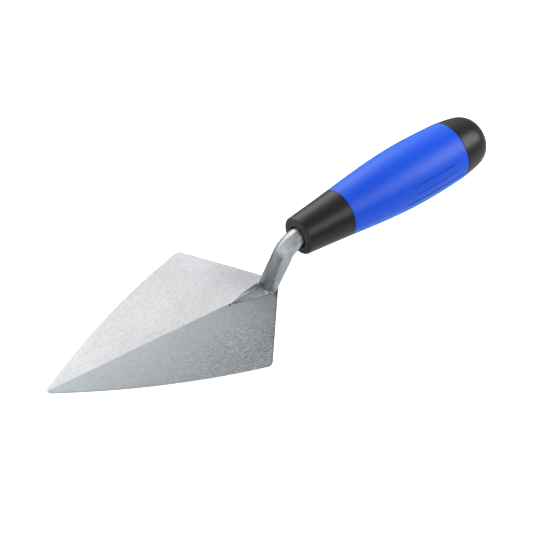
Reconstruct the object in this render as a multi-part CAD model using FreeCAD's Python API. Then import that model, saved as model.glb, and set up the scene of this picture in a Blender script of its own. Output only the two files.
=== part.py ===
import FreeCAD, Part
import math
import os
from FreeCAD import Placement, Rotation, Vector

# Brick trowel with a London-pattern blade and a two-material grip.
# Units are millimetres. +X runs from the blade towards the butt of the handle, +Z is up.
# The underside of the blade lies on z = 0, and the round shank stands over the origin.
# The whole tool is symmetric about the XZ plane.

# ---- blade ----
BLADE_LENGTH = 150.0      # tip to heel, before the corners are rounded
BLADE_WIDTH = 82.0        # across the two side corners
HEEL_X = 8.0              # heel point, behind the shank axis
CORNER_SETBACK = 38.2     # side corners, ahead of the heel
SIDE_BULGE = 3.4          # how far each long side bows outwards
EDGE_THICKNESS = 1.0
RIDGE_AT_HEEL = 1.9       # ground thickness along the centre line
RIDGE_AT_TIP = 1.1
TIP_ROUND = 1.8
CORNER_ROUND = 4.0
HEEL_ROUND = 3.0
RIM_ROUND = 0.25

# ---- forged shank ----
SHANK_RADIUS = 5.3
BEND_RADIUS = 11.7        # of the centre line
TONGUE_REACH = 27.0       # tip of the leaf-shaped tongue, ahead of the shank axis
TANG_SIDE = 7.4           # square tang inside the handle
TANG_ROUND_RADIUS = 3.0   # threaded end, drawn as a plain cylinder
WELD_LEG = 2.4

# ---- handle, measured along its axis from the shank axis ----
HANDLE_TILT = 10.1        # degrees above the blade
AXIS_HEIGHT = 38.6        # handle axis above the underside, over the origin
COLLAR_FRONT = 4.8
COLLAR_REAR = 33.9
SLEEVE_REAR = 112.0
CAP_LENGTH = 22.8
CAP_END = SLEEVE_REAR + CAP_LENGTH
GRIP_STATIONS = (
    (2.0, 10.05), (20.0, 11.85), (33.9, 13.35), (50.0, 15.2),
    (65.0, 16.65), (80.0, 17.45), (95.0, 17.5), (112.0, 16.9),
)
CAP_RADIUS = 16.9
FACE_ROUND = 1.2          # front edge of the collar
SEAM_ROUND = 0.3          # small rounds that make the dark line at each joint
RUNNING_GAP = 0.1         # radial clearance between moulded parts

# ---- inner core and its fastening ----
CORE_FRONT = 14.0
CORE_NOSE_RADIUS = 8.9
CORE_FRONT_RADIUS = 11.0
CORE_REAR_RADIUS = 13.0
SHOULDER = 16.0           # where the round shank becomes the square tang
TANG_STEP = 98.0          # where the square tang becomes the round threaded end
TANG_END = 126.0
SPIGOT_END = 118.0
SPIGOT_RADIUS = 10.0
KEY_COUNT = 4
KEY_WIDTH = 2.4
KEY_RADIUS = 13.4
KEY_SPAN = (45.0, 100.0)
WASHER_RADIUS = 8.0
WASHER_THICKNESS = 1.6
NUT_FLATS = 10.0
NUT_HEIGHT = 5.0

# ---- grip grooves in the sleeve ----
GROOVES_PER_SIDE = 5
GROOVE_CENTRE = 85.0      # degrees round from the top of the handle
GROOVE_PITCH = 16.5       # degrees
GROOVE_TOOL_RADIUS = 1.1
GROOVE_DEPTH = 0.75
GROOVE_SPAN = (66.0, 111.0)


def handle_placement():
    """Placement that takes a part drawn along local Z to the tilted handle axis."""
    return Placement(Vector(0, 0, AXIS_HEIGHT), Rotation(Vector(0, 1, 0), 90.0 - HANDLE_TILT))


def set_on_handle(shape):
    placed = shape.copy()
    placed.Placement = handle_placement().multiply(placed.Placement)
    return placed


def rod(radius, start, end):
    return Part.makeCylinder(radius, end - start, Vector(0, 0, start), Vector(0, 0, 1))


def square_bar(side, start, end):
    return Part.makeBox(side, side, end - start, Vector(-side / 2, -side / 2, start))


def edges_near(shape, test):
    return [edge for edge in shape.Edges if test(edge)]


# ---------------------------------------------------------------- blade

def blade_outline():
    tip = Vector(HEEL_X - BLADE_LENGTH, 0, 0)
    heel = Vector(HEEL_X, 0, 0)
    right = Vector(HEEL_X - CORNER_SETBACK, -BLADE_WIDTH / 2, 0)
    left = Vector(HEEL_X - CORNER_SETBACK, BLADE_WIDTH / 2, 0)

    def bowed_side(start, end, outward):
        chord = end - start
        middle = start + chord * 0.5
        normal = Vector(-chord.y, chord.x, 0).normalize()
        if normal.y * outward < 0:
            normal = normal * -1
        return Part.Arc(start, middle + normal * SIDE_BULGE, end).toShape()

    return Part.Wire([
        bowed_side(tip, right, -1),
        Part.makeLine(right, heel),
        Part.makeLine(heel, left),
        bowed_side(left, tip, 1),
    ])


def rounded_blank(height):
    """The outline as a flat block, with its four upright corners rounded."""
    blank = Part.Face(blade_outline()).extrude(Vector(0, 0, height))
    corner_rounds = (
        (HEEL_X - BLADE_LENGTH, TIP_ROUND),
        (HEEL_X, HEEL_ROUND),
        (HEEL_X - CORNER_SETBACK, CORNER_ROUND),
    )
    for corner_x, radius in corner_rounds:
        def upright(edge):
            box = edge.BoundBox
            return box.ZLength > height / 2 and abs(box.XMin - corner_x) < 0.01
        blank = blank.makeFillet(radius, edges_near(blank, upright))
    return blank


def facet_cutter(side):
    """A slab that removes everything above one of the two sloping facets."""
    ridge_tip = Vector(HEEL_X - BLADE_LENGTH, 0, RIDGE_AT_TIP)
    ridge_heel = Vector(HEEL_X, 0, RIDGE_AT_HEEL)
    corner = Vector(HEEL_X - CORNER_SETBACK, side * BLADE_WIDTH / 2, EDGE_THICKNESS)
    along = (ridge_heel - ridge_tip).normalize()
    normal = along.cross(corner - ridge_tip).normalize()
    if normal.z < 0:
        normal = normal * -1
    across = normal.cross(along)
    slab = Part.makeBox(260, 160, 12, Vector(-40, -80, 0))
    slab.Placement = Placement(FreeCAD.Matrix(
        along.x, across.x, normal.x, ridge_tip.x,
        along.y, across.y, normal.y, ridge_tip.y,
        along.z, across.z, normal.z, ridge_tip.z,
        0, 0, 0, 1))
    return slab


def make_blade():
    blade = rounded_blank(6.0)
    for side in (1, -1):
        blade = blade.cut(facet_cutter(side))

    def top_rim(edge):
        box = edge.BoundBox
        on_top = box.ZMin > EDGE_THICKNESS * 0.5
        on_ridge = box.YLength < 0.01 and box.XLength > 50
        return on_top and not on_ridge

    return blade.makeFillet(RIM_ROUND, edges_near(blade, top_rim))


# ---------------------------------------------------------------- forged shank and weld

def tangent_length():
    return BEND_RADIUS * math.tan(math.radians(90.0 - HANDLE_TILT) / 2)


def bent_bar(radius, foot_height, straight_end):
    """Upright leg, bend and straight run along the handle axis, all round and of one radius."""
    leg_top = AXIS_HEIGHT - tangent_length()
    leg = Part.makeCylinder(radius, leg_top - foot_height, Vector(0, 0, foot_height))
    # a torus turned so that its first section caps the leg and its sweep leans towards +X
    bend = Part.makeTorus(BEND_RADIUS, radius, Vector(0, 0, 0), Vector(0, 0, 1), -180, 180,
                          90.0 - HANDLE_TILT)
    bend.rotate(Vector(0, 0, 0), Vector(1, 0, 0), 90)
    bend.rotate(Vector(0, 0, 0), Vector(0, 0, 1), 180)
    bend.translate(Vector(BEND_RADIUS, 0, leg_top))
    run = set_on_handle(rod(radius, tangent_length(), straight_end))
    return leg.fuse(bend).fuse(run)


def tongue():
    """Leaf-shaped tongue that lies along the blade: a low roof that swells towards the shank."""
    stations = (
        # distance ahead of the shank axis, half width, crest height above the underside
        (TONGUE_REACH, 0.25, 1.9),
        (20.0, 1.8, 3.2),
        (13.0, 3.1, 3.7),
        (6.0, 4.5, 4.1),
        (0.0, 5.3, 4.3),
    )
    sections = []
    for ahead, half_width, crest in stations:
        flat = min(0.5, half_width * 0.4)
        shoulder = 1.2 + (crest - 1.2) * 0.42
        outline = [
            Vector(-ahead, -half_width, 1.0),
            Vector(-ahead, -half_width * 0.92, shoulder),
            Vector(-ahead, -flat, crest),
            Vector(-ahead, flat, crest),
            Vector(-ahead, half_width * 0.92, shoulder),
            Vector(-ahead, half_width, 1.0),
        ]
        sections.append(Part.makePolygon(outline + [outline[0]]))
    return Part.makeLoft(sections, True, True)


def weld_ring():
    """Ground weld fillet: a ring with a hollow face between the shank and the blade."""
    inner = SHANK_RADIUS - 0.6
    base = 1.0
    top = RIDGE_AT_HEEL + WELD_LEG
    outer = SHANK_RADIUS + WELD_LEG
    hollow_middle = Vector(SHANK_RADIUS + WELD_LEG * 0.32, 0, RIDGE_AT_HEEL + WELD_LEG * 0.32)
    wall_top = Vector(SHANK_RADIUS, 0, top)
    toe = Vector(outer, 0, RIDGE_AT_HEEL)
    edges = [
        Part.makeLine(Vector(inner, 0, base), Vector(outer, 0, base)),
        Part.makeLine(Vector(outer, 0, base), toe),
        Part.Arc(toe, hollow_middle, wall_top).toShape(),
        Part.makeLine(wall_top, Vector(inner, 0, top)),
        Part.makeLine(Vector(inner, 0, top), Vector(inner, 0, base)),
    ]
    return Part.Face(Part.Wire(edges)).revolve(Vector(0, 0, 0), Vector(0, 0, 1), 360)


def make_shank(blade):
    shank = bent_bar(SHANK_RADIUS, 1.0, SHOULDER)
    shank = shank.fuse(tongue())
    tang = square_bar(TANG_SIDE, SHOULDER - 1.0, TANG_STEP)
    tang = tang.fuse(rod(TANG_ROUND_RADIUS, TANG_STEP - 1.0, TANG_END))
    shank = shank.fuse(set_on_handle(tang))
    return shank.cut(blade).removeSplitter()


def make_weld_bead(blade, shank):
    inset = 0.4
    footprint = rounded_blank(20.0)
    footprint = footprint.makeOffsetShape(-inset, 0.01)
    bead = weld_ring().common(footprint)
    return bead.cut(blade).cut(shank)


# ---------------------------------------------------------------- handle

def grip_curve():
    curve = Part.BSplineCurve()
    curve.interpolate([Vector(radius, 0, along) for along, radius in GRIP_STATIONS])
    return curve


def cap_profile_radius(fraction):
    """Cap radius against the fraction of its length: nearly straight, then a full round end."""
    inside = 1.0 - 0.34 * fraction - 0.66 * fraction ** 5.6
    return CAP_RADIUS * math.sqrt(max(inside, 0.0))


def grip_body():
    """Collar, sleeve and cap as one turned body, later cut apart at the joints."""
    front_at, front_radius = GRIP_STATIONS[0]
    edges = [
        Part.makeLine(Vector(0, 0, front_at), Vector(front_radius, 0, front_at)),
        grip_curve().toShape(),
    ]
    steps = 14
    dome_points = []
    for index in range(steps + 1):
        fraction = math.sin(0.5 * math.pi * index / steps)
        radius = cap_profile_radius(fraction)
        if index == steps:
            radius = 0.0
        dome_points.append(Vector(radius, 0, SLEEVE_REAR + CAP_LENGTH * fraction))
    dome = Part.BSplineCurve()
    dome.interpolate(dome_points)
    edges.append(dome.toShape())
    edges.append(Part.makeLine(dome_points[-1], Vector(0, 0, front_at)))
    return Part.Face(Part.Wire(edges)).revolve(Vector(0, 0, 0), Vector(0, 0, 1), 360)


def slice_of_grip(start, end):
    return grip_body().common(rod(40.0, start, end))


def outer_rim(shape, at):
    """The outermost round edge of a turned part at one end."""
    rims = []
    for edge in shape.Edges:
        box = edge.BoundBox
        if box.ZLength < 0.01 and abs(box.ZMin - at) < 0.01:
            rims.append(edge)
    return [max(rims, key=lambda edge: edge.BoundBox.XLength)]


def make_front_collar():
    collar = slice_of_grip(COLLAR_FRONT, COLLAR_REAR)
    collar = collar.makeFillet(FACE_ROUND, outer_rim(collar, COLLAR_FRONT))
    collar = collar.makeFillet(SEAM_ROUND, outer_rim(collar, COLLAR_REAR))
    collar = collar.cut(rod(CORE_NOSE_RADIUS + RUNNING_GAP, CORE_FRONT, COLLAR_REAR))
    collar = collar.cut(rod(CORE_NOSE_RADIUS + 0.6, 25.0, 28.0))
    collar = set_on_handle(collar)
    return collar.cut(bent_bar(SHANK_RADIUS + RUNNING_GAP, 10.0, CORE_FRONT + 1.0))


def key_ribs(width, outer_radius, start, end):
    ribs = None
    for index in range(KEY_COUNT):
        rib = Part.makeBox(outer_radius, width, end - start, Vector(0, -width / 2, start))
        rib.rotate(Vector(0, 0, 0), Vector(0, 0, 1), 45.0 + index * 360.0 / KEY_COUNT)
        if ribs is None:
            ribs = rib
        else:
            ribs = ribs.fuse(rib)
    return ribs


def core_taper(extra):
    return Part.makeCone(CORE_FRONT_RADIUS + extra, CORE_REAR_RADIUS + extra,
                         SLEEVE_REAR - COLLAR_REAR, Vector(0, 0, COLLAR_REAR))


def make_handle_core():
    core = core_taper(0.0)
    core = core.fuse(rod(CORE_NOSE_RADIUS, CORE_FRONT, COLLAR_REAR))
    core = core.fuse(rod(CORE_NOSE_RADIUS + 0.4, 25.5, 27.5))
    core = core.fuse(rod(SPIGOT_RADIUS, SLEEVE_REAR, SPIGOT_END))
    core = core.fuse(rod(SPIGOT_RADIUS + 0.4, 114.6, 116.2))
    core = core.fuse(key_ribs(KEY_WIDTH, KEY_RADIUS, *KEY_SPAN))
    core = core.cut(rod(SHANK_RADIUS + RUNNING_GAP, CORE_FRONT, SHOULDER))
    core = core.cut(square_bar(TANG_SIDE + 2 * RUNNING_GAP, SHOULDER, TANG_STEP + 0.5))
    core = core.cut(rod(TANG_ROUND_RADIUS + 0.2, TANG_STEP, SPIGOT_END))
    return set_on_handle(core)


def groove_tool():
    """Round cutter that follows the swell of the sleeve and runs out at both ends."""
    start, end = GROOVE_SPAN
    middle = (start + end) / 2
    curve = grip_curve()

    def radius_at(along):
        low, high = curve.FirstParameter, curve.LastParameter
        for _ in range(40):
            guess = (low + high) / 2
            if curve.value(guess).z < along:
                low = guess
            else:
                high = guess
        return curve.value(low).x

    path = Part.Arc(
        Vector(radius_at(start) + GROOVE_TOOL_RADIUS, 0, start),
        Vector(radius_at(middle) + GROOVE_TOOL_RADIUS - GROOVE_DEPTH, 0, middle),
        Vector(radius_at(end) + GROOVE_TOOL_RADIUS, 0, end))
    heading = path.tangent(path.FirstParameter)[0]
    section = Part.makeCircle(GROOVE_TOOL_RADIUS, path.value(path.FirstParameter), heading)
    return Part.Wire([path.toShape()]).makePipeShell([Part.Wire([section])], True, True)


def make_grip_sleeve():
    sleeve = slice_of_grip(COLLAR_REAR, SLEEVE_REAR)
    for at in (COLLAR_REAR, SLEEVE_REAR):
        sleeve = sleeve.makeFillet(SEAM_ROUND, outer_rim(sleeve, at))
    sleeve = sleeve.cut(core_taper(RUNNING_GAP))
    start, end = KEY_SPAN
    sleeve = sleeve.cut(key_ribs(KEY_WIDTH + 0.2, KEY_RADIUS + 0.1, start - 0.1, end + 0.1))
    tool = groove_tool()
    first = GROOVE_CENTRE - GROOVE_PITCH * (GROOVES_PER_SIDE - 1) / 2
    for side in (-1, 1):
        for index in range(GROOVES_PER_SIDE):
            groove = tool.copy()
            # local +X points down on the finished handle, so the top of the grip is at 180 degrees
            groove.rotate(Vector(0, 0, 0), Vector(0, 0, 1),
                          180.0 + side * (first + index * GROOVE_PITCH))
            sleeve = sleeve.cut(groove)
    return set_on_handle(sleeve)


def make_end_cap():
    cap = slice_of_grip(SLEEVE_REAR, CAP_END + 5.0)
    cap = cap.makeFillet(SEAM_ROUND, outer_rim(cap, SLEEVE_REAR))
    cap = cap.cut(rod(SPIGOT_RADIUS + RUNNING_GAP, SLEEVE_REAR, SPIGOT_END + 0.2))
    cap = cap.cut(rod(SPIGOT_RADIUS + 0.6, 114.2, 116.6))
    cap = cap.cut(rod(9.3, SLEEVE_REAR, 127.5))
    return set_on_handle(cap)


def make_tang_washer():
    washer = rod(WASHER_RADIUS, SPIGOT_END, SPIGOT_END + WASHER_THICKNESS)
    washer = washer.cut(rod(TANG_ROUND_RADIUS + 0.2, SPIGOT_END - 1, SPIGOT_END + 5))
    return set_on_handle(washer)


def make_tang_nut():
    start = SPIGOT_END + WASHER_THICKNESS
    corner = NUT_FLATS / 2 / math.cos(math.radians(30))
    points = []
    for index in range(7):
        angle = math.radians(60 * index)
        points.append(Vector(corner * math.cos(angle), corner * math.sin(angle), start))
    nut = Part.Face(Part.makePolygon(points)).extrude(Vector(0, 0, NUT_HEIGHT))
    nut = nut.cut(rod(TANG_ROUND_RADIUS, start - 1, start + NUT_HEIGHT + 1))
    # both faces lose their sharp hexagon corners, as a turned nut does
    crown = Part.makeCone(corner + 1.2, corner - 0.4, 3.2, Vector(0, 0, start + NUT_HEIGHT - 3.2))
    crown = crown.fuse(rod(corner + 1.2, start, start + NUT_HEIGHT - 3.2))
    return set_on_handle(nut.common(crown))


def main():
    os.makedirs("parts", exist_ok=True)
    blade = make_blade()
    shank = make_shank(blade)
    solids = {
        "blade": blade,
        "shank": shank,
        "weld_bead": make_weld_bead(blade, shank),
        "front_collar": make_front_collar(),
        "handle_core": make_handle_core(),
        "grip_sleeve": make_grip_sleeve(),
        "end_cap": make_end_cap(),
        "tang_washer": make_tang_washer(),
        "tang_nut": make_tang_nut(),
    }
    for node, shape in solids.items():
        found = shape.Solids
        if len(found) == 1:
            shape = found[0]
        shape.exportStep("parts/" + node + ".step")
        box = shape.BoundBox
        print("%-13s solids %d valid %s volume %.0f box %.1f..%.1f %.1f..%.1f %.1f..%.1f" % (
            node, len(found), shape.isValid(), shape.Volume,
            box.XMin, box.XMax, box.YMin, box.YMax, box.ZMin, box.ZMax))


main()
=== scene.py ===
import math

import bmesh
import bpy
import numpy
from mathutils import Matrix, Vector, noise


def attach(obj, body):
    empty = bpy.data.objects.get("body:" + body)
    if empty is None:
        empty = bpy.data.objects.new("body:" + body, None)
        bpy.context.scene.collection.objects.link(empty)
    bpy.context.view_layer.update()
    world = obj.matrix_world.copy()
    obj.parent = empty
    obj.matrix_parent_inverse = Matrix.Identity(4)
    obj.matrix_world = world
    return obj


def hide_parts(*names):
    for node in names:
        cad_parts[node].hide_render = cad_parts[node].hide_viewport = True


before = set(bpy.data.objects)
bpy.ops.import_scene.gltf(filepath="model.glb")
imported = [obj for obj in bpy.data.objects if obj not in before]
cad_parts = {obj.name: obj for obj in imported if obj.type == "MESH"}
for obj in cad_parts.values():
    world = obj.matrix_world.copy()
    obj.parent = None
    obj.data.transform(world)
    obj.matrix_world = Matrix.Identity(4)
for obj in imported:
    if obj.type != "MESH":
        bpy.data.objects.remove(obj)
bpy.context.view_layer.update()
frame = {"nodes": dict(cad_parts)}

MM = 0.001

# Handle axis and the sizes of the turned parts, in millimetres, as in the CAD part,
# but for the collar's front face, which is 0.8 mm further back.
TILT = math.radians(10.1)
AXIS_HEIGHT = 38.6
COLLAR_FRONT = 5.6
COLLAR_REAR = 33.9
SLEEVE_REAR = 112.0
CAP_LENGTH = 22.8
CAP_RADIUS = 16.9
GRIP_STATIONS = ((2.0, 10.05), (20.0, 11.85), (33.9, 13.35), (50.0, 15.2),
                 (65.0, 16.65), (80.0, 17.45), (95.0, 17.5), (112.0, 16.9))
SHANK_RADIUS = 5.3
BEND_RADIUS = 11.7
TANGENT = BEND_RADIUS * math.tan((math.pi / 2 - TILT) / 2)

# How far the handle's shells lie inside their CAD solids, and how round their seam edges are.
SKIN = 0.01
LIP = 0.3

# Grooves moulded into each side of the sleeve: the middle one's angle from the top, the angle
# between neighbours, how many lie on either side of the middle one, and where they start and
# end. Depths and half widths are listed from the middle one outwards.
GROOVE_CENTRE = math.radians(85.0)
GROOVE_PITCH = math.radians(16.5)
GROOVE_HALF = 2
GROOVE_SPAN = (66.0, 111.0)
GROOVE_DEPTH = (0.85, 0.60, 0.50)
GROOVE_WIDE = (0.95, 0.48, 0.40)

# The blade's corners before they are rounded, and its two ground facets, which meet on the ridge.
TIP_X = -142.0
HEEL_X = 8.0
CORNER_X = -30.2
HALF_WIDTH = 41.0
EDGE_THICKNESS = 1.0
RIDGE_AT_TIP = 1.1
RIDGE_SLOPE = 0.8 / (HEEL_X - TIP_X)
FACET_SLOPE = (RIDGE_AT_TIP + RIDGE_SLOPE * (CORNER_X - TIP_X) - EDGE_THICKNESS) / HALF_WIDTH
# direction straight out from the back edge, on the +Y side
BACK_NORMAL = (0.7315, 0.6818)

ALONG = Vector((math.cos(TILT), 0, math.sin(TILT)))
UPWARD = Vector((-math.sin(TILT), 0, math.cos(TILT)))
SIDEWAYS = Vector((0, -1, 0))
AXIS_START = Vector((0, 0, AXIS_HEIGHT))


# ---------------------------------------------------------------- mesh helpers

def handle_point(along, radius, angle):
    """A point at that distance along the handle; the angle runs from the top towards -Y."""
    return (AXIS_START + ALONG * along + UPWARD * (radius * math.cos(angle))
            + SIDEWAYS * (radius * math.sin(angle))) * MM


def grid_mesh(name, rows, closed_rows=True, cap_first=False, cap_last=False):
    """A quad mesh from rows of points; each row closes on itself when asked."""
    vertices = []
    for row in rows:
        vertices.extend(row)
    count = len(rows[0])
    faces = []
    for i in range(len(rows) - 1):
        for j in range(count if closed_rows else count - 1):
            k = (j + 1) % count
            faces.append((i * count + j, i * count + k, (i + 1) * count + k, (i + 1) * count + j))
    if cap_first:
        faces.append(tuple(reversed(range(count))))
    if cap_last:
        base = (len(rows) - 1) * count
        faces.append(tuple(range(base, base + count)))
    mesh = bpy.data.meshes.new(name)
    mesh.from_pydata([tuple(v) for v in vertices], [], faces)
    shaped = bmesh.new()
    shaped.from_mesh(mesh)
    bmesh.ops.recalc_face_normals(shaped, faces=shaped.faces)
    shaped.to_mesh(mesh)
    shaped.free()
    for polygon in mesh.polygons:
        polygon.use_smooth = True
    mesh.update()
    item = bpy.data.objects.new(name, mesh)
    bpy.context.scene.collection.objects.link(item)
    return item


def spline_through(stations):
    """A natural cubic through the given (x, y) stations, as a function."""
    xs = [s[0] for s in stations]
    ys = [s[1] for s in stations]
    n = len(xs)
    h = [xs[i + 1] - xs[i] for i in range(n - 1)]
    lower = [0.0] * n
    ratio = [0.0] * n
    for i in range(1, n - 1):
        rise = 3 * ((ys[i + 1] - ys[i]) / h[i] - (ys[i] - ys[i - 1]) / h[i - 1])
        span = 2 * (xs[i + 1] - xs[i - 1]) - h[i - 1] * ratio[i - 1]
        ratio[i] = h[i] / span
        lower[i] = (rise - h[i - 1] * lower[i - 1]) / span
    curve = [0.0] * n
    for i in range(n - 2, 0, -1):
        curve[i] = lower[i] - ratio[i] * curve[i + 1]

    def value(x):
        i = 0
        while i < n - 2 and x > xs[i + 1]:
            i += 1
        t = x - xs[i]
        slope = (ys[i + 1] - ys[i]) / h[i] - h[i] * (2 * curve[i] + curve[i + 1]) / 3
        bend = (curve[i + 1] - curve[i]) / (3 * h[i])
        return ys[i] + slope * t + curve[i] * t * t + bend * t ** 3
    return value


grip_radius = spline_through(GRIP_STATIONS)


def ramp(start, end, count):
    """Evenly spaced numbers from start to end."""
    return [start + (end - start) * i / (count - 1) for i in range(count)]


def evenly(count):
    """Angles evenly spaced round a full turn."""
    return [2 * math.pi * i / count for i in range(count)]


def ease(t):
    """0 to 1, starting and ending gently."""
    return t * t * (3 - 2 * t)


# ---------------------------------------------------------------- shank centre line

BEND_TOP = AXIS_HEIGHT - TANGENT
BEND_SWEEP = math.pi / 2 - TILT
LEG_LENGTH = BEND_TOP
BEND_LENGTH = BEND_RADIUS * BEND_SWEEP


def shank_line(distance):
    """(point, direction, outward) on the centre line, measured from the underside of the blade."""
    if distance <= LEG_LENGTH:
        return Vector((0, 0, distance)), Vector((0, 0, 1)), Vector((-1, 0, 0))
    if distance <= LEG_LENGTH + BEND_LENGTH:
        turn = (distance - LEG_LENGTH) / BEND_RADIUS
        centre = Vector((BEND_RADIUS, 0, BEND_TOP))
        outward = Vector((-math.cos(turn), 0, math.sin(turn)))
        direction = Vector((math.sin(turn), 0, math.cos(turn)))
        return centre + outward * BEND_RADIUS, direction, outward
    along = TANGENT + distance - LEG_LENGTH - BEND_LENGTH
    return AXIS_START + ALONG * along, ALONG.copy(), UPWARD.copy()


def distance_for(along):
    """Distance down the centre line of the point that far along the straight handle axis."""
    return LEG_LENGTH + BEND_LENGTH + along - TANGENT


def gap_to_shank(point):
    """Distance of a point from the shank's centre line around the bend."""
    best = 1e9
    for i in range(61):
        spot = shank_line(LEG_LENGTH - 2 + (BEND_LENGTH + 12) * i / 60)[0]
        best = min(best, (spot - point).length)
    return best


# ---------------------------------------------------------------- material helpers

class Nodes:
    """Short names for building a node tree."""

    def __init__(self, name):
        self.material = bpy.data.materials.new(name)
        self.material.use_nodes = True
        self.tree = self.material.node_tree
        self.shader = self.tree.nodes["Principled BSDF"]

    def add(self, kind, **settings):
        node = self.tree.nodes.new(kind)
        for key, value in settings.items():
            setattr(node, key, value)
        return node

    def link(self, source, target):
        self.tree.links.new(source, target)

    def feed(self, socket, value):
        if isinstance(value, bpy.types.NodeSocket):
            self.link(value, socket)
        elif value is not None:
            socket.default_value = value

    def position(self):
        return self.add("ShaderNodeTexCoord").outputs["Object"]

    def mapped(self, vector, scale=(1, 1, 1), rotation=(0, 0, 0)):
        node = self.add("ShaderNodeMapping")
        self.link(vector, node.inputs["Vector"])
        node.inputs["Scale"].default_value = scale
        node.inputs["Rotation"].default_value = rotation
        return node.outputs["Vector"]

    def grained(self, vector, degrees, scale):
        """Coordinates turned so that the first scale runs along the grain, then scaled."""
        turned = self.mapped(vector, rotation=(0, 0, -math.radians(degrees)))
        return self.mapped(turned, scale)

    def noise(self, vector, detail, rough, distortion=0.0):
        """Noise with one cell per unit of the coordinates, so their scale is cells per metre."""
        node = self.add("ShaderNodeTexNoise")
        self.link(vector, node.inputs["Vector"])
        node.inputs["Scale"].default_value = 1.0
        node.inputs["Detail"].default_value = detail
        node.inputs["Roughness"].default_value = rough
        node.inputs["Distortion"].default_value = distortion
        return node.outputs["Fac"]

    def math(self, operation, a, b=None):
        node = self.add("ShaderNodeMath", operation=operation)
        self.feed(node.inputs[0], a)
        self.feed(node.inputs[1], b)
        return node.outputs[0]

    def span(self, value, low, high, to_low, to_high, smooth=False):
        node = self.add("ShaderNodeMapRange")
        if smooth:
            node.interpolation_type = "SMOOTHSTEP"
        self.feed(node.inputs["Value"], value)
        self.feed(node.inputs["From Min"], low)
        self.feed(node.inputs["From Max"], high)
        self.feed(node.inputs["To Min"], to_low)
        self.feed(node.inputs["To Max"], to_high)
        return node.outputs["Result"]

    def times(self, *factors):
        product = factors[0]
        for factor in factors[1:]:
            product = self.math("MULTIPLY", product, factor)
        return product

    def plus(self, *terms):
        total = terms[0]
        for term in terms[1:]:
            total = self.math("ADD", total, term)
        return total

    def minus(self, a, b):
        return self.math("SUBTRACT", a, b)

    def fade(self, value, low, high, to_low=0.0, to_high=1.0):
        """As span, but easing in and out."""
        return self.span(value, low, high, to_low, to_high, smooth=True)

    def around(self, texture, strength):
        """How far the texture is from its middle, times the strength."""
        return self.times(self.minus(texture, 0.5), strength)

    def tint(self, colour, tone):
        """The colour made brighter or darker by the tone."""
        node = self.add("ShaderNodeVectorMath", operation="SCALE")
        self.feed(node.inputs[0], colour)
        self.link(tone, node.inputs["Scale"])
        return node.outputs[0]

    def measure(self, operation, vector, other=None):
        """A dot product, distance or length as a number."""
        node = self.add("ShaderNodeVectorMath", operation=operation)
        self.link(vector, node.inputs[0])
        self.feed(node.inputs[1], other)
        return node.outputs["Value"]

    def mix(self, factor, a, b, kind="FLOAT"):
        """b where the factor is 1 and a where it is 0."""
        node = self.add("ShaderNodeMix", data_type=kind)
        # the node has one set of sockets for each kind
        index = {"FLOAT": (0, 2, 3, 0), "VECTOR": (0, 4, 5, 1), "RGBA": (0, 6, 7, 2)}[kind]
        self.feed(node.inputs[index[0]], factor)
        self.feed(node.inputs[index[1]], a)
        self.feed(node.inputs[index[2]], b)
        return node.outputs[index[3]]

    def split(self, vector):
        node = self.add("ShaderNodeSeparateXYZ")
        self.link(vector, node.inputs[0])
        return node.outputs

    def bump(self, height, distance, strength):
        node = self.add("ShaderNodeBump")
        self.link(height, node.inputs["Height"])
        node.inputs["Distance"].default_value = distance
        node.inputs["Strength"].default_value = strength
        return node.outputs["Normal"]

    def set(self, **values):
        for key, value in values.items():
            self.feed(self.shader.inputs[key.replace("_", " ")], value)


def dress(item, material):
    item.data.materials.clear()
    item.data.materials.append(material)


# ---------------------------------------------------------------- materials
# Lengths in the node trees are in metres, and the noise scales are cells per metre.

# a deep pit in the blade's ridge, just ahead of the tongue, whose dark look is painted shade
RIDGE_PIT = (-0.0273, -0.0008, 0.0017)
# the collar's front face in millimetres from the origin, in the handle's direction
COLLAR_PLANE = AXIS_HEIGHT * math.sin(TILT) + COLLAR_FRONT


def right_facet_tone(n, xyz):
    """Painted shade: the -Y facet darkens to the heel and rim, and painted shade darkens it
    between weld and back edge.
    """
    tone = n.times(n.span(xyz["X"], -0.135, 0.0, 0.985, 0.56),
                   n.span(xyz["Y"], -0.032, -0.001, 0.70, 1.0),
                   n.fade(xyz["X"], -0.038, -0.008, 1.075, 0.94))
    inward = n.plus(n.minus(0.00585, n.times(xyz["X"], BACK_NORMAL[0])),
                    n.times(xyz["Y"], BACK_NORMAL[1]))
    reach = n.span(xyz["Y"], -0.0085, -0.0062, 0.0011, 0.0044)
    # painted shade between the weld and the back edge, behind the shank
    weld_gap_shade = n.times(n.fade(inward, 0.0008, reach, 1.0, 0.0),
                    n.fade(xyz["Y"], -0.012, -0.007, 0.3, 1.0))
    return n.times(tone, n.minus(1.0, n.times(weld_gap_shade, 0.62)))


def left_facet_tone(n, xyz):
    """Painted light and shade: the +Y facet is a little darker in its middle and beside the ridge,
    and lighter towards the heel.
    """
    return n.times(n.fade(xyz["X"], -0.120, -0.085, 0.87, 0.77),
                   n.fade(xyz["X"], -0.055, -0.012, 1.0, 1.15),
                   n.span(xyz["Y"], 0.001, 0.018, 0.89, 1.0))


def rim_tone(n, xyz):
    """The sheared rim: painted shade darkens it on the +Y side, and a painted highlight makes the
    -Y side lighter towards the rear.
    """
    facing = n.split(n.add("ShaderNodeNewGeometry").outputs["Normal"])
    upright = n.fade(n.math("ABSOLUTE", facing["Z"]), 0.45, 0.80, 1.0, 0.0)
    # painted shade along the +Y rim
    rim_shade = n.times(upright, n.fade(facing["Y"], 0.2, 0.5), 0.6)
    # painted highlight along the -Y rim
    light = n.times(upright, n.fade(facing["Y"], -0.5, -0.2, 1.0, 0.0),
                    n.fade(xyz["X"], -0.125, -0.070, -0.12, 0.30))
    return n.times(n.minus(1.0, rim_shade), n.plus(1.0, light))


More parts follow.
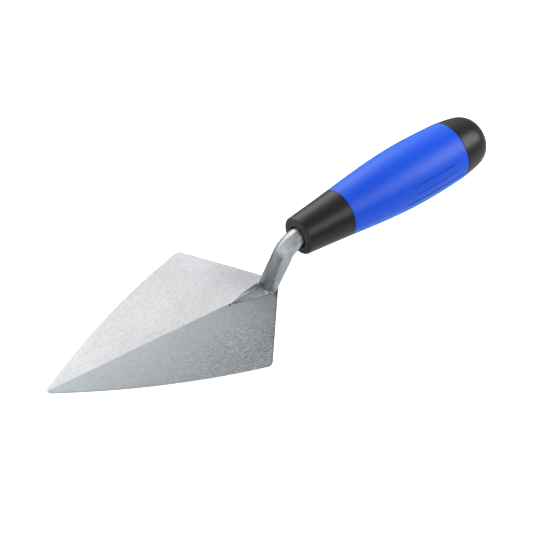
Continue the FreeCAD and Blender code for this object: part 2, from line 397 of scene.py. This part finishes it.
def blade_steel():
    """Belt-ground steel: each facet has its own grain direction; the +Y facet's colour is painted
    far lighter than the -Y facet's, as painted light and shade.
    """
    n = Nodes("blade_steel")
    p = n.position()
    xyz = n.split(p)
    left = n.span(xyz["Y"], -0.00015, 0.00015, 0.0, 1.0)
    fine = n.mix(left, n.noise(n.grained(p, -8, (160, 1300, 300)), 4, 0.6),
                 n.noise(n.grained(p, 20, (130, 1500, 300)), 4, 0.6))
    blot_right = n.noise(n.grained(p, -11, (620, 2100, 400)), 3, 0.65, 0.5)
    blot = n.mix(left, blot_right, n.noise(n.grained(p, 15, (470, 1900, 400)), 3, 0.65, 0.3))
    cloud = n.noise(n.mapped(p, (28, 40, 40)), 2, 0.5)
    # the right facet is pitted towards its back corner
    worn = n.times(n.fade(xyz["X"], -0.110, -0.015),
                   n.plus(n.times(n.span(xyz["Y"], -0.030, -0.006, 1.0, 0.0), 0.95), 0.05))
    speck = n.mix(left, n.plus(n.times(worn, 2.2), 0.62), 0.55)
    # painted shade of the pit: the colour darkens round that point
    pit_shade = n.fade(n.measure("DISTANCE", p, RIDGE_PIT), 0.0004, 0.0009, 0.35, 1.0)
    # the facets' painted light and shade, the rim's painted shade and highlight, and the pit's
    # painted shade all go into the colour here
    tone = n.times(n.mix(left, right_facet_tone(n, xyz), left_facet_tone(n, xyz)), pit_shade,
                   rim_tone(n, xyz))
    ripple = n.plus(n.around(fine, n.mix(left, 0.16, 0.18)), n.around(blot, speck),
                    n.around(cloud, 0.12), 1.0)
    # painted light and shade: the +Y facet gets a near-white colour, the -Y facet a darker grey
    base = n.mix(left, (0.62, 0.66, 0.685, 1), (0.97, 0.975, 0.99, 1), "RGBA")
    n.set(Base_Color=n.tint(base, n.times(tone, ripple)), Metallic=1.0, Anisotropic=0.45)
    n.set(Roughness=n.plus(n.times(fine, 0.12), 0.58))
    # the gloss stretches across each facet's grain
    n.set(Tangent=n.mix(left, (0.17, 0.985, 0.0), (-0.342, 0.94, 0.0), "VECTOR"))
    pits = n.times(blot_right, n.span(worn, 0.1, 0.9, 0.0, 1.0))
    n.set(Normal=n.bump(n.plus(n.times(fine, 0.35), pits), 0.00006, 0.55))
    return n.material


def bar_coordinates(n, xyz):
    """Coordinates that follow the bar round its bend, as its grinding marks do."""
    over = n.minus(xyz["X"], BEND_RADIUS * MM)
    rise = n.math("MAXIMUM", n.minus(xyz["Z"], BEND_TOP * MM), 0.0)
    radius = n.math("SQRT", n.plus(n.times(over, over), n.times(rise, rise)))
    turn = n.math("ARCTAN2", rise, n.times(over, -1.0))
    run = n.plus(n.math("MINIMUM", xyz["Z"], BEND_TOP * MM), n.times(turn, BEND_RADIUS * MM))
    bar = n.add("ShaderNodeCombineXYZ")
    for socket, value in zip(bar.inputs, (radius, xyz["Y"], run)):
        n.link(value, socket)
    return bar.outputs[0]


def above_blade(n, xyz):
    """Height above the blade's top face, near enough for the tones round the shank's foot."""
    at_origin, rise, fall = 0.001857, 0.00533, 0.018
    ridge = n.plus(n.times(xyz["X"], rise), at_origin)
    top = n.minus(ridge, n.times(n.math("ABSOLUTE", xyz["Y"]), fall))
    return n.minus(xyz["Z"], top)


def tongue_tones(n, xyz, tongue):
    """The tongue's crest painted as a highlight, to add, and the painted light and shade of its
    two flanks, to multiply by.
    """
    bow = n.math("MINIMUM", n.plus(xyz["X"], 0.0195), 0.0)
    off = n.minus(xyz["Y"], n.minus(0.00015, n.times(bow, bow, 16.0)))
    # painted shade on the +Y flank towards the shank; the -Y flank is painted darker near the tip,
    # lighter towards the shank
    left = n.fade(xyz["X"], -0.024, -0.009, 0.92, 0.60)
    right = n.fade(xyz["X"], -0.023, -0.011, 0.74, 1.0)
    flank = n.mix(n.span(off, 0.0, 0.0003, 0.0, 1.0), right, left)
    # painted highlight along the crest
    crest = n.times(n.fade(n.math("ABSOLUTE", off), 0.00005, 0.0004, 0.24, 0.0),
                    n.span(xyz["X"], -0.010, -0.0085, 1.0, 0.0), tongue)
    return crest, n.mix(tongue, 1.0, flank)


def scale_and_painted_shade(n, xyz):
    """Forge scale and painted shade on the bar's +Y side, narrower on the bend."""
    leg = n.times(n.fade(xyz["Y"], -0.0024, 0.0004, 0.0, 0.53),
                  n.fade(xyz["Y"], 0.0030, 0.0042, 1.0, 0.1))
    bend = n.fade(xyz["Y"], 0.0, 0.0032, 0.0, 0.42)
    return n.times(n.mix(n.fade(xyz["Z"], 0.023, 0.031), leg, bend),
                   n.fade(xyz["X"], -0.018, -0.008))


def painted_bar_light(n, xyz, along, tongue, foot):
    """Painted light and shade to add to the bar's tone: lighter on the bend's -Y side near its
    top, the front, the foot's wall and beside the collar, darker on the fillet.
    """
    inner_bend = n.times(n.fade(xyz["Y"], -0.0048, -0.0028, 1.0, 0.0),
                         n.fade(xyz["Z"], 0.022, 0.031, -0.12, 0.12))
    front = n.times(n.fade(xyz["X"], -0.0050, -0.0030, 0.22, 0.0),
                    n.fade(xyz["Z"], 0.024, 0.030, 1.0, 0.0), n.minus(1.0, tongue))
    girth = n.math("SQRT", n.plus(n.times(xyz["X"], xyz["X"]), n.times(xyz["Y"], xyz["Y"])))
    wedge = n.times(foot, n.fade(girth, 0.0055, 0.0059, 0.34, -0.48))
    beside_collar = n.times(n.fade(xyz["Y"], -0.0050, -0.0042),
                            n.fade(xyz["Y"], -0.0030, -0.0014, 1.0, 0.0),
                            n.fade(along, (COLLAR_PLANE - 4.4) * MM, (COLLAR_PLANE - 2.6) * MM,
                                   0.0, 0.36))
    return n.plus(inner_bend, front, wedge, beside_collar)


def shank_steel():
    """Forged steel, hand ground: rougher and darker with scale where it meets the blade, with
    painted light and shade over the bar and tongue.
    """
    n = Nodes("forged_steel")
    p = n.position()
    xyz = n.split(p)
    along = n.measure("DOT_PRODUCT", p, ALONG)
    streak = n.noise(n.mapped(bar_coordinates(n, xyz), (1100, 1100, 90)), 4, 0.6)
    mottle = n.noise(n.mapped(p, (520, 520, 400)), 3, 0.6, 0.4)
    # masks of the tongue and of the ground wedge at the bar's -Y foot
    above = above_blade(n, xyz)
    tongue = n.times(n.fade(above, 0.0030, 0.0042, 1.0, 0.0),
                     n.fade(xyz["X"], -0.0056, -0.0040, 1.0, 0.0))
    foot = n.times(n.fade(above, 0.0014, 0.0034, 1.0, 0.0),
                   n.fade(xyz["Y"], -0.0042, -0.0030, 1.0, 0.0), n.minus(1.0, tongue))
    crest, flank = tongue_tones(n, xyz, tongue)
    # grinding marks are strongest on the bend, mottling on the tongue; a painted highlight runs
    # along the tongue's crest, and painted light and shade lie over the bar
    tone = n.plus(n.around(mottle, n.plus(n.times(tongue, 0.35), 0.70)),
                  n.around(streak, n.fade(xyz["Z"], 0.026, 0.036, 0.69, 1.15)),
                  n.fade(xyz["Z"], 0.024, 0.033, 1.06, 0.92), n.times(tongue, -0.36),
                  crest, painted_bar_light(n, xyz, along, tongue, foot))
    # painted shade lines the tongue's creases, and painted shade darkens the bar where it enters
    # the collar
    crease_shade = n.times(n.span(xyz["X"], -0.020, -0.009, 0.50, 0.0),
                     n.fade(above, 0.00002, 0.00035, 1.0, 0.0))
    collar_shade = n.fade(along, (COLLAR_PLANE - 1.6) * MM, (COLLAR_PLANE - 0.2) * MM, 1.0, 0.38)
    tone = n.times(tone, flank, n.minus(1.0, scale_and_painted_shade(n, xyz)), n.minus(1.0, crease_shade), collar_shade)
    n.set(Base_Color=n.tint((0.43, 0.45, 0.47), tone), Metallic=1.0)
    n.set(Roughness=n.plus(n.times(mottle, 0.12), 0.31,
                           n.times(n.math("MAXIMUM", tongue, foot), 0.24)))
    n.set(Normal=n.bump(n.plus(n.times(streak, 0.5), n.times(mottle, 0.6)), 0.00010, 0.6))
    return n.material


def groove_shade(n, position):
    """Painted shade in the grip's grooves: 1 on the skin of the grip, falling inside its moulded
    grooves.
    """
    first, last = 64, 112
    middle = (first + last) / 2
    stops = range(first, last + 1)
    cubic = numpy.polyfit([v - middle for v in stops], [grip_radius(v) for v in stops], 3)
    local = n.add("ShaderNodeVectorMath", operation="SUBTRACT")
    n.link(position, local.inputs[0])
    local.inputs[1].default_value = AXIS_START * MM
    run = n.measure("DOT_PRODUCT", local.outputs[0], ALONG)
    length = n.measure("LENGTH", local.outputs[0])
    radius = n.math("SQRT", n.minus(n.times(length, length), n.times(run, run)))
    # the sleeve's radius without its grooves, from here on in millimetres
    offset = n.minus(n.times(run, 1 / MM), middle)
    skin = float(cubic[0])
    for factor in cubic[1:]:
        skin = n.plus(n.times(skin, offset), float(factor))
    depth = n.minus(skin, n.times(radius, 1 / MM))
    start, end = GROOVE_SPAN
    inside = n.times(n.span(run, start * MM, (start + 2) * MM, 0.0, 1.0),
                     n.span(run, (end - 2) * MM, end * MM, 1.0, 0.0))
    return n.minus(1.0, n.times(n.fade(depth, 0.05, 0.45, 0.0, 0.60), inside))


def moulded(name, colour, roughness, grain, wave, relief, specular=0.31, shade_grooves=False,
            sheen=None):
    """Moulded plastic: a fine spark-eroded grain over a slight long-wave unevenness."""
    n = Nodes(name)
    p = n.position()
    fine = n.noise(n.mapped(p, (grain, grain, grain)), 2, 0.5)
    uneven = n.noise(n.mapped(p, (wave, wave, wave)), 2, 0.5)
    tone = n.plus(n.around(uneven, 0.10), 1.0)
    if shade_grooves:
        # painted shade darkens the insides of the grooves
        tone = n.times(tone, groove_shade(n, p))
    if sheen:
        # soft-touch rubber: a faint tinted sheen toward the edges
        n.shader.inputs["Sheen Weight"].default_value = 0.85
        n.shader.inputs["Sheen Roughness"].default_value = 0.35
        n.shader.inputs["Sheen Tint"].default_value = sheen
    n.set(Base_Color=n.tint(colour, tone), Metallic=0.0)
    n.shader.inputs["Specular IOR Level"].default_value = specular
    n.set(Roughness=n.plus(n.around(fine, 0.12), roughness))
    n.set(Normal=n.bump(n.plus(fine, n.times(uneven, 1.2)), relief, 0.5))
    return n.material


def plated(name):
    """Zinc-plated steel, for the washer and the nut inside the handle."""
    n = Nodes(name)
    spangle = n.noise(n.mapped(n.position(), (900, 900, 900)), 3, 0.6)
    n.set(Base_Color=(0.70, 0.69, 0.64, 1), Metallic=1.0)
    n.set(Roughness=n.plus(n.times(spangle, 0.2), 0.25))
    n.set(Normal=n.bump(spangle, 0.00003, 0.4))
    return n.material


# ---------------------------------------------------------------- handle shells

def ring(along, radius, angles):
    """A round row of points across the handle."""
    return [handle_point(along, radius, a) for a in angles]


def front_lip(seam, radius_at, angles):
    """Rows that round a shell's front edge up out of the seam."""
    rows = []
    for step in range(6):
        turn = math.pi / 2 * step / 5
        inset = LIP * (1 - math.sin(turn))
        rows.append(ring(seam + LIP * (1 - math.cos(turn)), radius_at(seam + inset) - SKIN - inset,
                         angles))
    return rows


def rear_lip(seam, angles):
    """Rows that round a shell's rear edge down into the seam."""
    rows = []
    for step in range(1, 6):
        turn = math.pi / 2 * step / 5
        rows.append(ring(seam - LIP * (1 - math.sin(turn)),
                         grip_radius(seam) - SKIN - LIP * (1 - math.cos(turn)), angles))
    return rows


def mouth_radius(angle):
    """Radius of the collar's mouth at that angle, just clear of the bar, which bends there."""
    clearance = 0.22
    low, high = 2.0, 9.5
    for _ in range(22):
        middle = (low + high) / 2
        spot = handle_point(COLLAR_FRONT, middle, angle) / MM
        if gap_to_shank(spot) < SHANK_RADIUS + clearance:
            low = middle
        else:
            high = middle
    return low


def build_collar():
    nose, shoulder, chamfer = 1.2, 1.25, 0.7
    angles = evenly(144)
    holes = [mouth_radius(angle) for angle in angles]
    rows = []
    for depth, spread in ((5.0, 0.0), (1.6, 0.03), (0.9, 0.1), (0.5, 0.22), (0.2, 0.4),
                          (0.06, 0.55), (0.0, chamfer)):
        rows.append([handle_point(COLLAR_FRONT + depth, hole + spread, angle)
                     for angle, hole in zip(angles, holes)])
    flat_edge = grip_radius(COLLAR_FRONT) - shoulder
    for share in (0.25, 0.5, 0.75, 1.0):
        row = []
        for angle, hole in zip(angles, holes):
            inner = hole + chamfer
            row.append(handle_point(COLLAR_FRONT, inner + (flat_edge - inner) * share, angle))
        rows.append(row)
    outer = grip_radius(COLLAR_FRONT + nose)
    for step in range(1, 9):
        turn = math.pi / 2 * step / 8
        rows.append(ring(COLLAR_FRONT + nose * (1 - math.cos(turn)),
                         flat_edge + (outer - flat_edge) * math.sin(turn), angles))
    for along in ramp(COLLAR_FRONT + nose + 0.6, COLLAR_REAR - LIP, 44):
        rows.append(ring(along, grip_radius(along) - SKIN, angles))
    rows += rear_lip(COLLAR_REAR, angles)
    for radius in (11.5, 9.2):
        rows.append(ring(COLLAR_REAR, radius, angles))
    return grid_mesh("collar_shell", rows)


def groove_angles():
    """Both sides' grooves as (angle, depth, half width); the middle ones are the widest."""
    centres = []
    for side in (1, -1):
        for k in range(-GROOVE_HALF, GROOVE_HALF + 1):
            centres.append(((side * (GROOVE_CENTRE + k * GROOVE_PITCH)) % (2 * math.pi),
                            GROOVE_DEPTH[abs(k)], GROOVE_WIDE[abs(k)]))
    return centres


def groove_cut(along, radius, angle, centres):
    """Depth of the groove at a place on the sleeve, or 0 beside the grooves."""
    start, end = GROOVE_SPAN
    if along <= start or along >= end:
        return 0.0
    t = (along - (start + end) / 2) / ((end - start) / 2)
    share = (1 - t * t) ** 0.7
    for centre, deep, wide in centres:
        off = (angle - centre + math.pi) % (2 * math.pi) - math.pi
        reach = abs(off) * radius / (wide * (0.55 + 0.45 * share))
        if reach < 1:
            return deep * share * (1 - reach ** 2.5) ** 0.8
    return 0.0


def sleeve_angles(centres):
    """Angles 3 degrees apart, with many more across each groove."""
    angles = {round(math.radians(degree), 5) for degree in range(0, 360, 3)}
    for centre, _, wide in centres:
        for k in range(-13, 14):
            angles.add(round((centre + wide / 15.0 * k / 12) % (2 * math.pi), 5))
    angles = sorted(angles)
    thin = [angles[0]]
    for angle in angles[1:]:
        if angle - thin[-1] > math.radians(0.08):
            thin.append(angle)
    return thin


def build_sleeve():
    centres = groove_angles()
    angles = sleeve_angles(centres)
    rows = [ring(COLLAR_REAR, radius, angles) for radius in (11.4, 12.2)]
    rows += front_lip(COLLAR_REAR, grip_radius, angles)
    for along in ramp(COLLAR_REAR + 0.8, SLEEVE_REAR - LIP, 130):
        radius = grip_radius(along) - SKIN
        rows.append([handle_point(along, radius - groove_cut(along, radius, a, centres), a)
                     for a in angles])
    rows += rear_lip(SLEEVE_REAR, angles)
    rows += [ring(SLEEVE_REAR, radius, angles) for radius in (15.0, 13.1)]
    return grid_mesh("grip_shell", rows)


def build_cap():
    steps = 56
    angles = evenly(144)
    rows = [ring(SLEEVE_REAR, radius, angles) for radius in (10.2, 14.0)]
    rows += front_lip(SLEEVE_REAR, lambda along: CAP_RADIUS, angles)
    for index in range(3, steps):
        t = math.sin(0.5 * math.pi * index / steps)
        # nearly a cylinder at first, then a full dome
        radius = CAP_RADIUS * math.sqrt(1 - 0.34 * t - 0.66 * t ** 5.6) - SKIN
        rows.append(ring(SLEEVE_REAR + CAP_LENGTH * t - SKIN, radius, angles))
    return grid_mesh("cap_shell", rows, cap_last=True)


# ---------------------------------------------------------------- shank, tongue and weld

def build_shank():
    """The bar from the blade to the threaded end, with the slight unevenness of hand grinding."""
    tang_half, tang_corner = 3.7, 5.2
    thread_start, thread_pitch, thread_radius, thread_depth = 98.1, 1.0, 3.0, 0.5
    thread_step = 0.124
    inset = 0.04
    angles = evenly(96)
    rows = []
    for distance in ramp(1.4, distance_for(15.9), 96):
        point, direction, outward = shank_line(distance)
        side = direction.cross(outward)
        row = []
        for angle in angles:
            spoke = outward * math.cos(angle) + side * math.sin(angle)
            spot = point + spoke * SHANK_RADIUS
            wobble = noise.noise(spot * 0.16) * 0.07 + noise.noise(spot * 0.45) * 0.03
            # the ground bar is a little fuller on its -Y side
            fuller = 0.24 * max(spoke.dot(SIDEWAYS), 0.0) * min(max((30 - spot.z) / 5, 0), 1)
            row.append((spot - spoke * (inset - wobble * 0.6 - fuller)) * MM)
        rows.append(row)
    for along in ramp(16.0, 98.0, 18):
        row = []
        for angle in angles:
            reach = tang_half / max(abs(math.cos(angle)), abs(math.sin(angle)))
            row.append(handle_point(along, min(reach, tang_corner), angle))
        rows.append(row)
    for step in range(225):
        along = thread_start + step * thread_step
        row = []
        for angle in angles:
            phase = (along / thread_pitch - angle / (2 * math.pi)) % 1.0
            radius = thread_radius - thread_depth * abs(2 * phase - 1)
            row.append(handle_point(along, radius, angle))
        rows.append(row)
    return grid_mesh("shank_bar", rows, cap_first=True, cap_last=True)


def blade_top(x, y):
    """Height of the blade's top face, in millimetres."""
    return RIDGE_AT_TIP + RIDGE_SLOPE * (x - TIP_X) - abs(y) * FACET_SLOPE


# The forged tongue was ground by hand and lies a little towards -Y near its tip. Each line gives
# (x, y) of its edges and middle, and (x, height) of its crest, in millimetres.
tongue_left = spline_through(((-27.0, -0.74), (-24.0, 0.32), (-21.0, 1.12), (-18.4, 1.79),
                              (-15.8, 2.4), (-11.3, 3.05), (-7.35, 3.63), (-5.0, 3.93),
                              (0.0, 4.7)))
tongue_right = spline_through(((-27.0, -0.86), (-24.6, -1.29), (-22.7, -1.85), (-20.9, -2.15),
                               (-18.7, -2.4), (-16.7, -2.8), (-13.3, -3.65), (-10.3, -4.19),
                               (-6.6, -4.69), (0.0, -5.2)))
tongue_middle = spline_through(((-27.0, -0.8), (-24.5, -0.2), (-22.4, 0.12), (-20.0, 0.22),
                                (-16.5, 0.1), (-12.0, 0.0), (-8.8, 0.0), (-5.3, -0.3),
                                (0.0, -0.4)))
tongue_crest = spline_through(((-27.0, 0.05), (-24.5, 0.3), (-22.4, 0.55), (-20.0, 0.95),
                               (-16.5, 1.65), (-13.65, 2.25), (-11.0, 2.7), (-8.8, 2.95),
                               (-5.3, 2.95), (0.0, 2.95)))


def tongue_profile(u):
    """Height of one flank as a share of the crest: u is 0 at the crest and 1 at the foot."""
    soft, foot = 0.06, 0.93
    slope = 1 - 0.02 * (u / soft) ** 2 if u < soft else 0.98 - 0.99 * (u - soft)
    if u > foot:
        slope *= math.sqrt(max(1 - ((u - foot) / (1 - foot)) ** 2, 0.0))
    return slope


def build_tongue():
    sunk = 0.03
    rows = []
    shares = (0.0, 0.03, 0.06, 0.08, 0.11, 0.16, 0.25, 0.4, 0.55, 0.7, 0.82, 0.9, 0.93, 0.95,
              0.97, 0.985, 0.995, 1.0)
    for x in ramp(-27.0, -0.5, 80):
        middle = tongue_middle(x)
        tall = tongue_crest(x)
        points = []
        for edge, reach in ((tongue_left(x), reversed(shares[1:])), (tongue_right(x), shares)):
            for u in reach:
                y = middle + (edge - middle) * u
                rise = tall * tongue_profile(u)
                uneven = noise.noise(Vector((x, y, 0)) * 0.5) * 0.06 * min(rise, 1.0)
                points.append(Vector((x, y, blade_top(x, y) + rise - sunk + uneven)) * MM)
        rows.append(points)
    return grid_mesh("shank_tongue", rows, closed_rows=False)


def back_edge_gap(angle):
    """Distance from the shank axis to the blade's rounded back edge in that direction."""
    rounded_heel = 6.9
    direction = Vector((math.cos(angle), math.sin(angle)))
    best = 1e9
    for side in (1, -1):
        facing = direction.dot(Vector((BACK_NORMAL[0], side * BACK_NORMAL[1])))
        if facing > 0.05:
            best = min(best, HEEL_X * BACK_NORMAL[0] / facing)
    if math.cos(angle) > 0:
        best = min(best, rounded_heel / max(math.cos(angle), 0.01))
    return best


def build_weld():
    """A low ground fillet round the foot of the shank, widest where the tongue's flanks end."""
    end = math.radians(150)
    swell_at, swell_half = math.radians(122), math.radians(38)
    sunk = 0.03
    steps = 14
    rows = []
    for step in range(steps + 1):
        t = step / steps
        row = []
        for angle in ramp(-end, end, 160):
            room = back_edge_gap(angle) - SHANK_RADIUS - 0.2
            spoke = Vector((math.cos(angle), math.sin(angle), 5.0))
            swell = max(1 - abs(abs(angle) - swell_at) / swell_half, 0.0)
            wish = 0.2 + 0.06 * noise.noise(spoke * 2.3)
            wish += (1.5 if angle < 0 else 0.1) * ease(swell)
            fade = ease(min(1.0, (end - abs(angle)) / math.radians(20)))
            leg = max(min(wish * fade, room), 0.12)
            tall = 1.15 * leg + 0.1
            # a hollow quarter: steep at the shank, flat at the toe
            out = SHANK_RADIUS - 0.06 + leg * (1 - math.cos(t * math.pi / 2))
            up = tall * (1 - math.sin(t * math.pi / 2))
            x = out * math.cos(angle)
            y = out * math.sin(angle)
            lump = noise.noise(Vector((x, y, 3.0)) * 0.8) * 0.10 * t * (1 - t) * 4 * fade
            row.append(Vector((x, y, blade_top(x, y) + up - sunk + lump)) * MM)
        rows.append(row)
    return grid_mesh("weld_fillet", rows, closed_rows=False)


# ---------------------------------------------------------------- assemble the object

steel = shank_steel()
black = moulded("black_plastic", (0.013, 0.0135, 0.014), roughness=0.33, grain=2600, wave=90,
                relief=0.00003)
blue = moulded("blue_grip", (0.002, 0.068, 0.620), roughness=0.42, grain=2200, wave=70,
               relief=0.00004, specular=0.34, shade_grooves=True, sheen=(0.03, 0.43, 1.0, 1.0))
core = moulded("core_plastic", (0.03, 0.03, 0.032), roughness=0.5, grain=1500, wave=80,
               relief=0.00004)

nodes = frame["nodes"]
dress(nodes["blade"], blade_steel())
dress(nodes["handle_core"], core)
dress(nodes["tang_washer"], plated("washer_steel"))
dress(nodes["tang_nut"], plated("nut_steel"))

built = (
    (build_collar(), "front_collar", "black_plastic", black),
    (build_sleeve(), "grip_sleeve", "blue_grip", blue),
    (build_cap(), "end_cap", "cap_plastic", black),
    (build_shank(), "shank", "forged_steel", steel),
    (build_tongue(), "shank", "forged_steel", steel),
    (build_weld(), "weld_bead", "weld_steel", steel),
)
for item, node, slot, material in built:
    dress(item, material)
    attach(item, "root")
    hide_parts(node)


# ---------------------------------------------------------------- floor, light and camera

def build_floor():
    """White sweep: a flat floor that curves up far away, seen by the camera only."""
    flat, bend, height = 3.02, 1.5, 3.0
    below = 0.0006
    around = evenly(72)
    rows = []
    for i in range(20):
        reach = 0.02 + 3.0 * (i / 19.0) ** 2
        rows.append([Vector((reach * math.cos(a), reach * math.sin(a), -below)) for a in around])
    for i in range(1, 21):
        turn = i / 20.0 * math.radians(88)
        reach = flat + bend * math.sin(turn)
        rise = height * (1 - math.cos(turn)) - below
        rows.append([Vector((reach * math.cos(a), reach * math.sin(a), rise)) for a in around])
    floor = grid_mesh("floor", rows, cap_first=True)
    n = Nodes("floor_white")
    grain = n.noise(n.mapped(n.position(), (3, 3, 3)), 2, 0.5)
    n.set(Base_Color=n.mix(grain, (0.90, 0.90, 0.90, 1), (0.93, 0.93, 0.93, 1), "RGBA"))
    n.set(Roughness=0.9, Emission_Color=(1, 1, 1, 1), Emission_Strength=1.0)
    dress(floor, n.material)
    floor.visible_glossy = False
    floor.visible_diffuse = False
    floor.visible_shadow = False


def soft_box(name, centre, across, upright, width, height, radiance, dim):
    """A rectangular studio panel, brightest at the end that `across` points to."""
    lamp = bpy.data.lights.new(name, "AREA")
    lamp.shape = "RECTANGLE"
    lamp.size = width
    lamp.size_y = height
    # Blender spreads a panel's watts over its area, and a quarter of that is its radiance
    lamp.energy = radiance * 4 * width * height
    lamp.use_nodes = True
    tree = lamp.node_tree
    place = tree.nodes.new("ShaderNodeNewGeometry")
    split = tree.nodes.new("ShaderNodeSeparateXYZ")
    fade = tree.nodes.new("ShaderNodeMapRange")
    fade.inputs["To Min"].default_value = 1 - dim
    fade.inputs["To Max"].default_value = 1 + dim
    tree.links.new(place.outputs["Parametric"], split.inputs[0])
    tree.links.new(split.outputs["X"], fade.inputs["Value"])
    tree.links.new(fade.outputs["Result"], tree.nodes["Emission"].inputs["Strength"])
    item = bpy.data.objects.new(name, lamp)
    x = Vector(across).normalized()
    y = Vector(upright)
    y = (y - x * y.dot(x)).normalized()
    item.matrix_world = Matrix.Translation(Vector(centre)) @ Matrix(
        (x, y, x.cross(y))).transposed().to_4x4()
    item.visible_camera = False
    bpy.context.scene.collection.objects.link(item)


def build_world():
    """Dim room above, a pale table's bounce below, and a soft white sweep behind on +Y."""
    world = bpy.data.worlds.new("studio")
    bpy.context.scene.world = world
    world.use_nodes = True
    tree = world.node_tree
    nodes, links = tree.nodes, tree.links
    back = nodes["Background"]
    coord = nodes.new("ShaderNodeTexCoord")
    split = nodes.new("ShaderNodeSeparateXYZ")
    links.new(coord.outputs["Generated"], split.inputs[0])

    def band(value, low, high, to_low, to_high):
        node = nodes.new("ShaderNodeMapRange")
        node.interpolation_type = "SMOOTHSTEP"
        links.new(value, node.inputs["Value"])
        for key, number in (("From Min", low), ("From Max", high),
                            ("To Min", to_low), ("To Max", to_high)):
            node.inputs[key].default_value = number
        return node.outputs["Result"]

    def join(operation, first, second):
        node = nodes.new("ShaderNodeMath")
        node.operation = operation
        links.new(first, node.inputs[0])
        links.new(second, node.inputs[1])
        return node.outputs[0]

    def toward(direction, width, level):
        node = nodes.new("ShaderNodeVectorMath")
        node.operation = "DOT_PRODUCT"
        links.new(coord.outputs["Generated"], node.inputs[0])
        node.inputs[1].default_value = Vector(direction).normalized()
        return band(node.outputs["Value"], math.cos(math.radians(width)), 1.0, 0.0, level)

    horizon = (-0.12, 0.33)
    level = band(split.outputs["Z"], *horizon, 0.80, 0.15)
    shade = join("MULTIPLY", band(split.outputs["Z"], *horizon, 0.56, 0.0),
                 band(split.outputs["Y"], 0.2, 0.7, 0.0, 1.0))
    level = join("SUBTRACT", level, shade)
    # soft glows: direction, half-width in degrees, and strength at the middle
    for direction, width, peak in (((-0.01, 0.956, 0.292), 38, 3.4),
                                   ((0.263, 0.86, 0.438), 48, 0.65),
                                   ((-0.40, 0.88, -0.22), 32, 1.8),
                                   ((-1.0, 0.0, 0.2), 95, 0.70)):
        level = join("ADD", level, toward(direction, width, peak))
    links.new(level, back.inputs["Strength"])
    back.inputs["Color"].default_value = (1, 1, 1, 1)


def build_camera():
    """A long lens, high beyond the tip and on the -Y side."""
    right = Vector((0.73732, -0.60970, 0.29092))
    down = Vector((-0.34257, -0.70861, -0.61686))
    forward = Vector((0.58225, 0.35517, -0.73133))
    place = Vector((-0.40888, -0.24369, 0.52490))
    camera = bpy.data.cameras.new("camera")
    camera.lens = 90.22
    camera.sensor_width = 36.0
    camera.clip_end = 20.0
    item = bpy.data.objects.new("camera", camera)
    turn = Matrix((right, -down, -forward)).transposed().to_4x4()
    item.matrix_world = Matrix.Translation(place) @ turn
    bpy.context.scene.collection.objects.link(item)
    bpy.context.scene.camera = item


build_floor()
build_world()
# a long panel close above the -Y side, brightest at its +X end
soft_box("panel_right", centre=(0.162, -0.219, 0.375), across=(0.863, 0.477, -0.166),
         upright=(-0.245, 0.683, 0.688), width=0.626, height=0.213, radiance=2.95, dim=0.95)
build_camera()
bpy.context.scene.view_settings.view_transform = "Standard"
bpy.context.scene.view_settings.look = "None"
